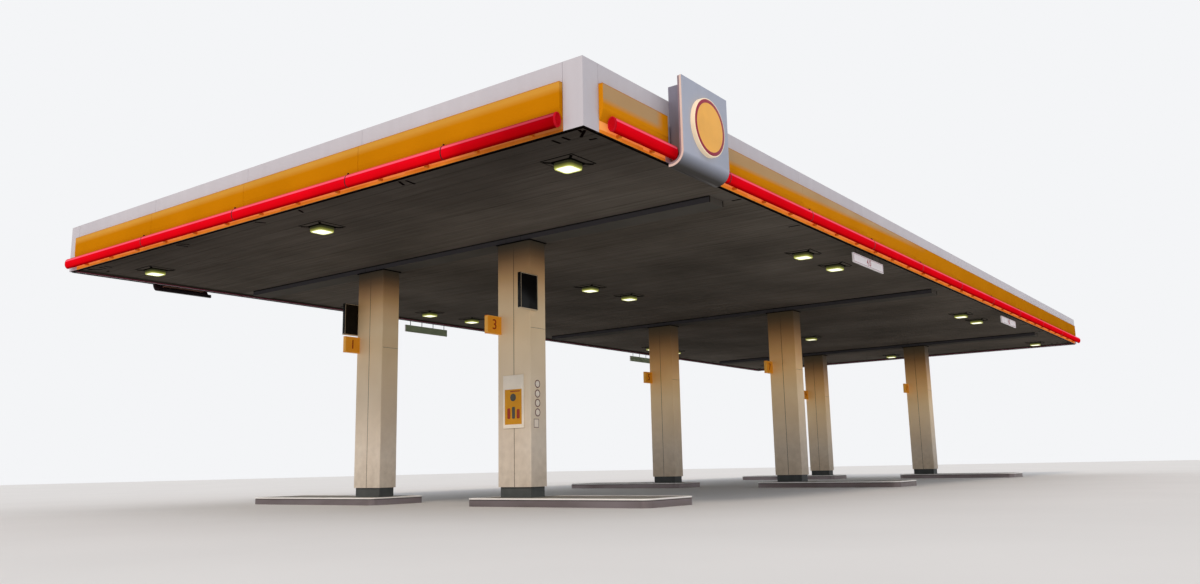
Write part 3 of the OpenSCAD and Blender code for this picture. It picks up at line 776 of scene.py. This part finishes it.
def sign_discs():
    """Each disc is a cream tray with a dark red ring and a slightly domed amber face."""
    cream = lit_acrylic("cream_acrylic_tray", "#F2DCBC", 0.25)
    ring = plain_enamel("dark_red_vinyl", "#A42A48", "#9A2640", 0.35)
    amber = lit_acrylic("pale_amber_acrylic", "#E8A940", 0.2)
    trays, rings, faces = [], [], []
    for lo, hi in solids("sign_discs"):
        side, start, end, back, front = hung(lo, hi)
        u, r = (start + end) / 2, (end - start) / 2
        z = (lo[2] + hi[2]) / 2
        lip, bevel = 0.0016, 0.008
        front -= lip
        curve = arc(front - bevel, r - bevel, bevel, 90, 0, 4)[1:]
        tray = [(back, r), (front - bevel, r), *curve, (front, r - 0.016)]
        trays.append(lathe_out(side, u, z, tray))
        inner = r - DISC_RING - 0.016
        band = [(front - lip, r - 0.014), (front + lip, r - 0.018), (front + lip, inner),
                (front - lip, inner - 0.002)]
        rings.append(lathe_out(side, u, z, band))
        k = np.linspace(1, 0.02, 7)
        dome = np.stack([front + 0.0005 + 0.001 * (1 - k * k), inner * k], 1)
        faces.append(lathe_out(side, u, z, [(front - lip, inner + 0.001), *dome]))
    parts = trays + painted(rings, 1) + painted(faces, 2)
    piece("sign_disc_trays", parts, [cream, ring, amber], ["sign_discs"])


# Ceiling lights

LAMP_PLATE = 0.480
LAMP_BOX = 0.290
LAMP_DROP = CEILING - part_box("light_housings")[0].z


def square_rings(sizes, radius, steps=5):
    """Rounded squares of the given (side, z) about the Z axis, closed into one surface."""
    rings = []
    for side, z in sizes:
        flat = outline(side, side, min(radius, side / 2 - 0.001), steps)
        rings.append(np.column_stack([flat, np.full(len(flat), z)]))
    return skin(np.array(rings))


def lamp_rib(turn):
    """A narrow rib along one diagonal of the plate, from its corner to the drop box."""
    length = (LAMP_PLATE - LAMP_BOX) / 2 * math.sqrt(2) - 0.03
    middle = (LAMP_PLATE + LAMP_BOX) / 4 * math.sqrt(2)
    points, faces = block((middle - length / 2, -0.017, -0.0175), (middle + length / 2, 0.017, -0.006))
    return turned(points, math.cos(turn), math.sin(turn)), faces


def ceiling_lights(pan_enamel):
    """A flat plate with a dark joint round it and dark diagonal folds, a drop box and its lens. The fold ribs
    are painted shade, and a black collar round the drop box is a painted shadow.
    """
    housing, lens = lamp_enamel(), prismatic_lens()
    dark = plain_enamel("black_gasket_and_painted_shade", "#0C0B08", "#080705", 0.6, shine=0.0)
    plate = square_rings([(LAMP_PLATE, 0), (LAMP_PLATE, -0.004), (LAMP_PLATE - 0.01, -0.0085),
                          (LAMP_BOX + 0.02, -0.0095), (LAMP_BOX + 0.02, -0.002)], 0.006)
    joint = square_rings([(LAMP_PLATE + 0.034, 0.001), (LAMP_PLATE + 0.034, -0.003),
                          (LAMP_PLATE - 0.02, -0.0035), (LAMP_PLATE - 0.02, 0.001)], 0.004)
    # Black collar round the drop box: painted shadow
    collar = square_rings([(LAMP_BOX + 0.05, -0.002), (LAMP_BOX + 0.05, -0.011), (LAMP_BOX + 0.03, -0.020),
                           (LAMP_BOX - 0.01, -0.020)], 0.02)
    # Dark ribs on the folds: painted shade
    ribs = [lamp_rib(math.radians(45 + 90 * k)) for k in range(4)]
    box = square_rings([(LAMP_BOX, -0.002), (LAMP_BOX, -LAMP_DROP + 0.034),
                        (LAMP_BOX - 0.006, -LAMP_DROP + 0.009), (LAMP_BOX - 0.014, -LAMP_DROP),
                        (LAMP_BOX - 0.03, -LAMP_DROP), (LAMP_BOX - 0.03, -LAMP_DROP + 0.019)], 0.06)
    glass = square_rings([(LAMP_BOX - 0.032, -LAMP_DROP + 0.014), (LAMP_BOX - 0.032, -LAMP_DROP + 0.006),
                          (LAMP_BOX - 0.06, -LAMP_DROP + 0.001), (LAMP_BOX - 0.16, -LAMP_DROP)], 0.05)
    places = [((lo[0] + hi[0]) / 2, (lo[1] + hi[1]) / 2, CEILING) for lo, hi in solids("light_housings")]
    parts = moved([plate] + painted([box], 1) + painted([joint, collar] + ribs, 2), places)
    piece("lamp_housings", parts, [pan_enamel, housing, dark], ["light_housings"])
    piece("lamp_lenses", moved([glass], places), [lens], ["light_lenses"])


# Fine parts of the ceiling and the beam covers

# Strips over slots in one quarter of the ceiling, as x and y at both ends. The rest mirror them
SLOTS = (
    (-13.31, -5.28, -13.16, -5.29), (-13.32, -5.44, -13.19, -5.455), (-13.045, -5.63, -13.03, -5.73),
    (-13.39, -5.745, -13.305, -5.72), (-13.18, -5.61, -13.34, -5.79), (-13.37, -2.70, -13.21, -2.62),
    (-13.34, -2.80, -13.15, -2.77), (-13.37, -0.54, -13.23, -0.46), (-9.60, -5.63, -9.60, -5.78),
    (-7.60, -5.57, -7.60, -5.78))
SLOT_W = 0.036
END_STRAP = 0.020


def slot_cover(x0, y0, x1, y1):
    """A thin strip from one place on the ceiling to another: a block turned to their direction."""
    length = math.hypot(x1 - x0, y1 - y0)
    points, faces = block((0, -SLOT_W / 2, -0.003), (length, SLOT_W / 2, 0.001), 0.003, 0.0005)
    return turned(points, (x1 - x0) / length, (y1 - y0) / length) + [x0, y0, CEILING], faces


LIP_H = 0.014
LIP_IN = 0.036


def drip_lips():
    """(v, z) outline of a thin lip under the fascia's return, carried along each side."""
    profile = [(-LIP_IN - 0.004, UNDERSIDE - LIP_H), (-LIP_IN, UNDERSIDE - LIP_H),
               (-LIP_IN + 0.002, UNDERSIDE), (-LIP_IN - 0.004, UNDERSIDE)]
    lips = []
    for side in SIDES.values():
        reach = (HALF_X if side % 180 == 0 else HALF_Y) - LIP_IN
        lips.append(along(side, -reach, reach, profile, 0.0005))
    return lips


def ceiling_details():
    """Dark strips over the ceiling's slots, the beam covers' end straps and joints, and the drip lips. The
    drip lips are a dark line of painted shadow under the fascia's edge.
    """
    dark = plain_enamel("slot_shadow_enamel", "#0C0504", "#090403", 0.8, shine=0.0)
    parts = [slot_cover(x * a, y * b, x * c, y * d) for a, b, c, d in SLOTS for x in (-1, 1) for y in (-1, 1)]
    # Drip lips in the shadow enamel: a painted shadow line under the fascia
    parts += drip_lips()
    for name in ("left", "middle", "right"):
        lo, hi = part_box("beam_cover_" + name)
        end = hi.y - COVER_END
        for way in (-1, 1):
            near, far = sorted((way * (end - 0.001), way * (end + 0.0025)))
            for x in (lo.x, hi.x - END_STRAP):
                parts.append(block((x, near, lo.z + 0.001), (x + END_STRAP, far, CEILING), 0.002, 0.0005, 1))
            for y in (COLUMN_Y - 0.16, COLUMN_Y + 0.16):
                for x in (lo.x, hi.x):
                    parts.append(block((x - 0.001, way * y - 0.002, lo.z + 0.002),
                                       (x + 0.001, way * y + 0.002, CEILING - 0.001), 0.0008, 0.0004))
    piece("ceiling_fine_parts", parts, [dark])


# Island kerbs

KERB_T = 0.008
KERB_R = 0.011
KERB_CORNER = 0.143


def kerb_profile():
    """(out, z) outline of the kerb: an upright sheet, a rolled nose and a return."""
    top = KERB_TOP
    nose = arc(-KERB_R / 2, top - KERB_R, KERB_R, -60, 90, 12)
    back = [(-5 * KERB_T, top), (-5 * KERB_T, top - KERB_T / 2), (-KERB_T, top - KERB_T / 2), (-KERB_T, 0)]
    return np.concatenate([[(0, 0)], nose, back])


def island_kerbs():
    """The kerb's outline carried round a rectangle with round corners, at each island.

    Its outward direction is the way to the rectangle from a like one that is drawn in by step."""
    profile = kerb_profile()
    step = 0.1
    rings = []
    for lo, hi in solids("island_kerbs"):
        size = hi - lo - KERB_R
        flat = outline(size[0], size[1], KERB_CORNER, 10)
        inner = outline(size[0] - 2 * step, size[1] - 2 * step, KERB_CORNER - step, 10)
        normal = (flat - inner) / step
        path = flat + (lo + hi)[:2] / 2
        xy = path[:, None] + profile[None, :, :1] * normal[:, None]
        z = np.broadcast_to(profile[:, 1], xy.shape[:2])
        rings.append(skin(np.concatenate([xy, z[..., None]], -1), closed=True))
    piece("kerb_sections", rings, [rolled_steel()], ["island_kerbs"])


# Boards, flags and blade signs

BOARD_H = 0.172

# How far a blade sign reaches below its node in the frame
BLADE_DROP = 0.045


def numerals(name, texts, finish):
    """Plain numbers as one piece: each is (text, height, place, turn about Z in degrees)."""
    parts = []
    for text, height, place, turn in texts:
        curve = bpy.data.curves.new(name, "FONT")
        curve.body = text
        curve.size = height * 1.4
        curve.extrude = 0.0015
        curve.resolution_u = 4
        curve.align_x = "CENTER"
        curve.align_y = "CENTER"
        source = bpy.data.objects.new(name, curve)
        bpy.context.scene.collection.objects.link(source)
        bpy.context.view_layer.update()
        mesh = bpy.data.meshes.new_from_object(source.evaluated_get(bpy.context.evaluated_depsgraph_get()))
        stand = Matrix.Translation(place) @ Matrix.Rotation(math.radians(turn), 4, "Z")
        mesh.transform(stand @ Matrix.Rotation(math.pi / 2, 4, "X"))
        points = np.empty(len(mesh.vertices) * 3)
        mesh.vertices.foreach_get("co", points)
        parts.append((points.reshape(-1, 3), [list(p.vertices) for p in mesh.polygons]))
        bpy.data.objects.remove(source)
        bpy.data.curves.remove(curve)
        bpy.data.meshes.remove(mesh)
    piece(name, parts, [finish])


def number_flags():
    """Rounded acrylic boxes with a raised rim: odd numbers on a column's -X side, even on its +X."""
    amber = lit_acrylic("flag_amber_acrylic", "#EC9A1E", 0.12)
    pale = lit_acrylic("flag_rim_acrylic", "#F4B044", 0.12)
    ink = plain_enamel("numeral_red_vinyl", "#A82014", "#9C1C10")
    boxes, rims, texts = [], [], []
    rim = 0.012
    rows = sorted({round(float(lo[0] + hi[0]) / 2, 1) for lo, hi in solids("column_skirts")})
    for lo, hi in solids("number_flags"):
        middle = (lo + hi) / 2
        boxes.append(block(lo + [rim, 0.001, rim], hi - [rim, 0.001, rim], 0.004, 0.002, 1))
        rims += border(lo, hi, rim)
        row = int(np.argmin([abs(middle[0] - x) for x in rows]))
        left = middle[0] < rows[row]
        number = 4 * row + (1 if middle[1] > 0 else 3) + (0 if left else 1)
        for y, turn in ((lo[1] - 0.0005, 0), (hi[1] + 0.0005, 180)):
            texts.append((str(number), 0.17, (middle[0], y, middle[2]), turn))
    piece("flag_boxes", boxes + painted(rims, 1), [amber, pale], ["number_flags"])
    numerals("flag_numbers", texts, ink)


def blade_signs():
    """Black acrylic boxes with black edges, a fine cream line round each face and a cream foot."""
    black = plain_enamel("black_acrylic", "#0B0A0A", "#080707", 0.12)
    cream = plain_enamel("cream_edging", "#E0CCAE", "#D4C0A2")
    boxes, lines = [], []
    edge, wide, high = 0.010, 0.006, 0.016
    for lo, hi in solids("blade_signs"):
        lo = lo - [0, 0, BLADE_DROP]
        boxes.append(block(lo + [0, 0.002, high], hi - [0, 0.002, edge / 2], 0.004, 0.001, 2))
        lines.append(block(lo + [0, 0.002, 0], (hi[0], hi[1] - 0.002, lo[2] + high), 0.003))
        for y0, y1 in ((lo[1], lo[1] + 0.003), (hi[1] - 0.003, hi[1])):
            for x in (lo[0] + edge, hi[0] - edge - wide):
                lines.append(block((x, y0, lo[2] + high), (x + wide, y1, hi[2] - edge), 0.001, 0.0005))
            lines.append(block((lo[0] + edge, y0, hi[2] - edge - wide), (hi[0] - edge, y1, hi[2] - edge),
                               0.001, 0.0005))
    piece("blade_boxes", boxes + painted(lines, 1), [black, cream], ["blade_signs"])


def height_boards():
    """White boards on four hangers each: a pink border and a plain red number outside, olive inside."""
    white = plain_enamel("board_white_aluminium", "#F4F0F2", "#EAE6E8", 0.35)
    red = plain_enamel("board_red_vinyl", "#A42C3C", "#982636", 0.35)
    steel = plain_enamel("hanger_enamel", "#14120F", "#100E0C", 0.5)
    boards, borders, hangers, texts, inner = [], [], [], [], []
    line, inset = 0.010, 0.012
    for lo, hi in solids("height_boards"):
        top = lo[2] + BOARD_H
        boards.append(block(lo, (hi[0], hi[1], top), 0.004))
        for y, turn, way in ((lo[1], 0, -1), (hi[1], 180, 1)):
            near, far = sorted((y, y + way * 0.0015))
            if way * lo[1] < 0:
                inner.append(block((lo[0] + 0.001, near, lo[2] + 0.001), (hi[0] - 0.001, far, top - 0.001),
                                   0.002, 0.0005))
                continue
            borders += border((lo[0] + inset, near, lo[2] + inset), (hi[0] - inset, far, top - inset), line,
                              0.001, 0.0005)
            texts.append(("4.0", 0.12, ((lo[0] + hi[0]) / 2, y + way * 0.001, lo[2] + BOARD_H / 2), turn))
        for share in (0.12, 0.39, 0.66, 0.93):
            x, y = lo[0] + share * (hi[0] - lo[0]), (lo[1] + hi[1]) / 2
            hangers.append(block((x - 0.009, y - 0.003, top), (x + 0.009, y + 0.003, hi[2]), 0.001, 0.001))
    parts = boards + painted(borders, 1) + painted(hangers, 2) + painted(inner, 3)
    pink = plain_enamel("board_pink_edging", "#BC98A0", "#B09098", 0.35)
    olive = plain_enamel("board_olive_back", "#A2B090", "#94A284", 0.5)
    piece("board_panels", parts, [white, pink, steel, olive], ["height_boards"])
    numerals("board_numbers", texts, red)


# Fine parts of the columns

CASING_JOINT_Z = 2.81
STICKER_HEIGHTS = (1.905, 1.75, 1.60, 1.45)
POSTER_FOOT = 1.21
POSTER_HEAD = 2.06


def casing_joints():
    """The fine level joint across the narrow faces of each column casing."""
    dark = plain_enamel("joint_shadow_enamel", "#54483A", "#4A3E30", 0.6)
    parts = []
    for k in range(1, 7):
        lo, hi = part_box(f"column_{k}")
        for y in (lo.y, hi.y):
            parts.append(block((lo.x + 0.016, y - 0.0008, CASING_JOINT_Z - 0.0025),
                               (hi.x - 0.016, y + 0.0008, CASING_JOINT_Z + 0.0025), 0.0006, 0.0003, 0))
        for x in (lo.x, hi.x):
            y = (lo.y + hi.y) / 2
            parts.append(block((x - 0.0008, y - 0.005, lo.z + 0.001), (x + 0.0008, y + 0.005, hi.z - 0.001),
                               0.0006, 0.0003))
    piece("casing_joints", parts, [dark])


def column_stickers():
    """Four bare discs with a thin rim and a small bare plate, low on the front left column."""
    pale = plain_enamel("pale_vinyl", "#FFF4E6", "#F6EADA")
    rim = plain_enamel("red_brown_vinyl", "#70302A", "#642822", 0.45)
    lo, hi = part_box("column_1")
    x = (lo.x + hi.x) / 2 - 0.025
    out = -lo.y - HALF_Y
    discs, rims = [], []
    for z in STICKER_HEIGHTS:
        disc = [(out - 0.001, 0.050), (out + 0.0012, 0.050), (out + 0.0012, 0.004)]
        ring = [(out - 0.001, 0.0645), (out + 0.0016, 0.0635), (out + 0.0016, 0.049), (out - 0.001, 0.048)]
        discs.append(lathe_out(SIDES["front"], -x, z, disc, 40))
        rims.append(lathe_out(SIDES["front"], -x, z, ring, 40))
    plate, edging = [
        block((lo.x + 0.085 - d, lo.y - proud, 1.217 - d), (lo.x + 0.185 + d, lo.y + 0.001, 1.339 + d),
              0.004, 0.0005, 1) for d, proud in ((0, 0.0019), (0.008, 0.0015))]
    piece("column_stickers", discs + [plate] + painted(rims + [edging], 1), [pale, rim])


def poster_frames():
    """A cream frame on the front left column: a bare head and an amber sheet with plain shapes."""
    cream = plain_enamel("poster_cream_frame", "#FFF4E2", "#F6EAD8", 0.35)
    amber = plain_enamel("poster_amber_sheet", "#DE9C26", "#D4921E", 0.45)
    red = plain_enamel("poster_red_print", "#A8402A", "#9C3A26", 0.5)
    dark = plain_enamel("poster_dark_print", "#5A5A50", "#4E4E46", 0.5)
    t = 0.022
    lo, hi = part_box("column_1")
    x, y = lo.x, (lo.y + hi.y) / 2
    parts = [block((x - t, y - 0.22, POSTER_FOOT), (x, y + 0.22, POSTER_HEAD), 0.006, 0.003, 0)]
    sheet = block((x - t - 0.002, y - 0.18, 1.27), (x - t + 0.001, y + 0.18, 1.83), 0.003, 0.001, 0)
    parts += painted([sheet], 1)
    front = x - t - 0.0035
    for k, height in enumerate((0.15, 0.19, 0.17)):
        a = y - 0.14 + 0.10 * k
        bottle = block((front, a, 1.36), (front + 0.002, a + 0.065, 1.36 + height), 0.02, 0.0005, 0)
        parts += painted([bottle], 2 + k % 2)
    bar = block((front, y - 0.15, 1.79), (front + 0.002, y + 0.06, 1.805), 0.003, 0.0005, 0)
    roundel = block((front, y - 0.06, 1.64), (front + 0.002, y + 0.06, 1.76), 0.055, 0.0005, 0)
    parts += painted([bar], 2) + painted([roundel], 3)
    piece("poster_frame", parts, [cream, amber, red, dark])


# Light, floor and camera


def set_light():
    """A pale world with a soft cool sky, and one warm soft sun from the left of the camera."""
    world = bpy.data.worlds.new("studio")
    bpy.context.scene.world = world
    world.use_nodes = True
    tree = world.node_tree
    tree.nodes.clear()
    up = add("SeparateXYZ", {0: add("TexCoord", tree=tree).outputs["Generated"]}).outputs[2]
    sky = add("ValToRGB", {0: up}, stops=[(0.0, "#D8DADE"), (1.0, "#E8EAF0")]).outputs[0]
    lighting = add("Background", {"Color": sky, "Strength": 0.95})
    backdrop = add("Background", {"Color": linear("#F4F5F7"), "Strength": 1.0}, tree)
    path = add("LightPath", tree=tree).outputs
    seen = path["Is Camera Ray"]
    for name in ("Is Transmission Ray", "Is Glossy Ray"):
        seen = add("Math", {0: seen, 1: path[name]}, operation="MAXIMUM").outputs[0]
    mixed = add("MixShader", {0: seen, 1: lighting.outputs[0], 2: backdrop.outputs[0]})
    add("OutputWorld", {"Surface": mixed.outputs[0]})
    lamp = bpy.data.lights.new("sun", "SUN")
    lamp.energy = 1.25
    lamp.angle = math.radians(12)
    lamp.color = linear("#FFEEDC")[:3]
    sun = bpy.data.objects.new("sun", lamp)
    sun.rotation_euler = (math.radians(52), 0, math.radians(-74))
    bpy.context.scene.collection.objects.link(sun)


def lay_floor():
    """A plain pale floor, a square mesh grid at the ground's level."""
    reach = 90
    made, face, place = begin("floor_matt_paint", Roughness=0.9)
    feed(face, mottled(place, 3.0, "#DCDBD9", "#E0DFDD"))
    mesh = bpy.data.meshes.new("floor")
    corners = [(-reach, -reach, 0), (reach, -reach, 0), (reach, reach, 0), (-reach, reach, 0)]
    mesh.from_pydata(corners, [], [(0, 1, 2, 3)])
    mesh.materials.append(made)
    floor = bpy.data.objects.new("floor", mesh)
    bpy.context.scene.collection.objects.link(floor)


def place_camera():
    """The camera at the photograph's place: turned about Z, tilted up about X, then rolled."""
    data = bpy.data.cameras.new("camera")
    data.sensor_width = 36
    data.lens = CAMERA_LENS
    data.clip_end = 500
    camera = bpy.data.objects.new("camera", data)
    turn = Matrix.Rotation(math.radians(-CAMERA_YAW), 4, "Z")
    tilt = Matrix.Rotation(math.radians(90 + CAMERA_PITCH), 4, "X")
    roll = Matrix.Rotation(math.radians(CAMERA_ROLL), 4, "Z")
    camera.matrix_world = Matrix.Translation(CAMERA_AT) @ turn @ tilt @ roll
    bpy.context.scene.collection.objects.link(camera)
    bpy.context.scene.camera = camera


# The scene

bpy.context.scene.view_settings.view_transform = "Standard"
place_camera()
set_light()
lay_floor()

pan_enamel = ceiling_enamel()
# The fascia's near-black foot colour on the return's underside is painted shade of the gap under the fascia
dress(["fascia_front", "fascia_back", "fascia_left", "fascia_right", "fascia_corners"],
      painted_aluminium("fascia_white_aluminium", "#CECAD0", "#C6C2C9", UNDERSIDE + 0.0005, UNDERSIDE + 0.001,
                        "#0C0604"))
dress([f"ceiling_{k}" for k in range(1, 5)], pan_enamel)
dress(["beam_cover_left", "beam_cover_middle", "beam_cover_right"], cover_enamel())
dress(["ceiling_trims"], trim_enamel())
dress([f"column_{k}" for k in range(1, 7)], casing_enamel())
dress(["column_skirts"], plain_enamel("skirt_enamel", "#565958", "#4C4F4E", 0.45))
dress(["column_collars"], plain_enamel("collar_rubber", "#0C0B0B", "#080707", 0.7, shine=0.0))
dress([f"island_{k}" for k in range(1, 7)], cast_concrete())
dress(["column_posts", "main_beams"], plain_enamel("beam_primer", "#74787C", "#6A6E72", 0.55))
dress(["purlins", "fascia_posts"], galvanised_steel("rail_zinc", "#A4A8AC", "#8C9094"))
dress(["roof_sheet"], roof_coating())
# The cradles' orange is painted light of the amber strip, made lighter against the shade under the tube
dress(["tube_cradles"], plain_enamel("cradle_enamel_painted_amber_light", "#E08028", "#D2741E", 0.5))
dress(["sign_cabinets"], cabinet_enamel())
visors_and_tubes()
sign_plates()
sign_discs()
ceiling_lights(pan_enamel)
ceiling_details()
casing_joints()
island_kerbs()
number_flags()
blade_signs()
height_boards()
column_stickers()
poster_frames()
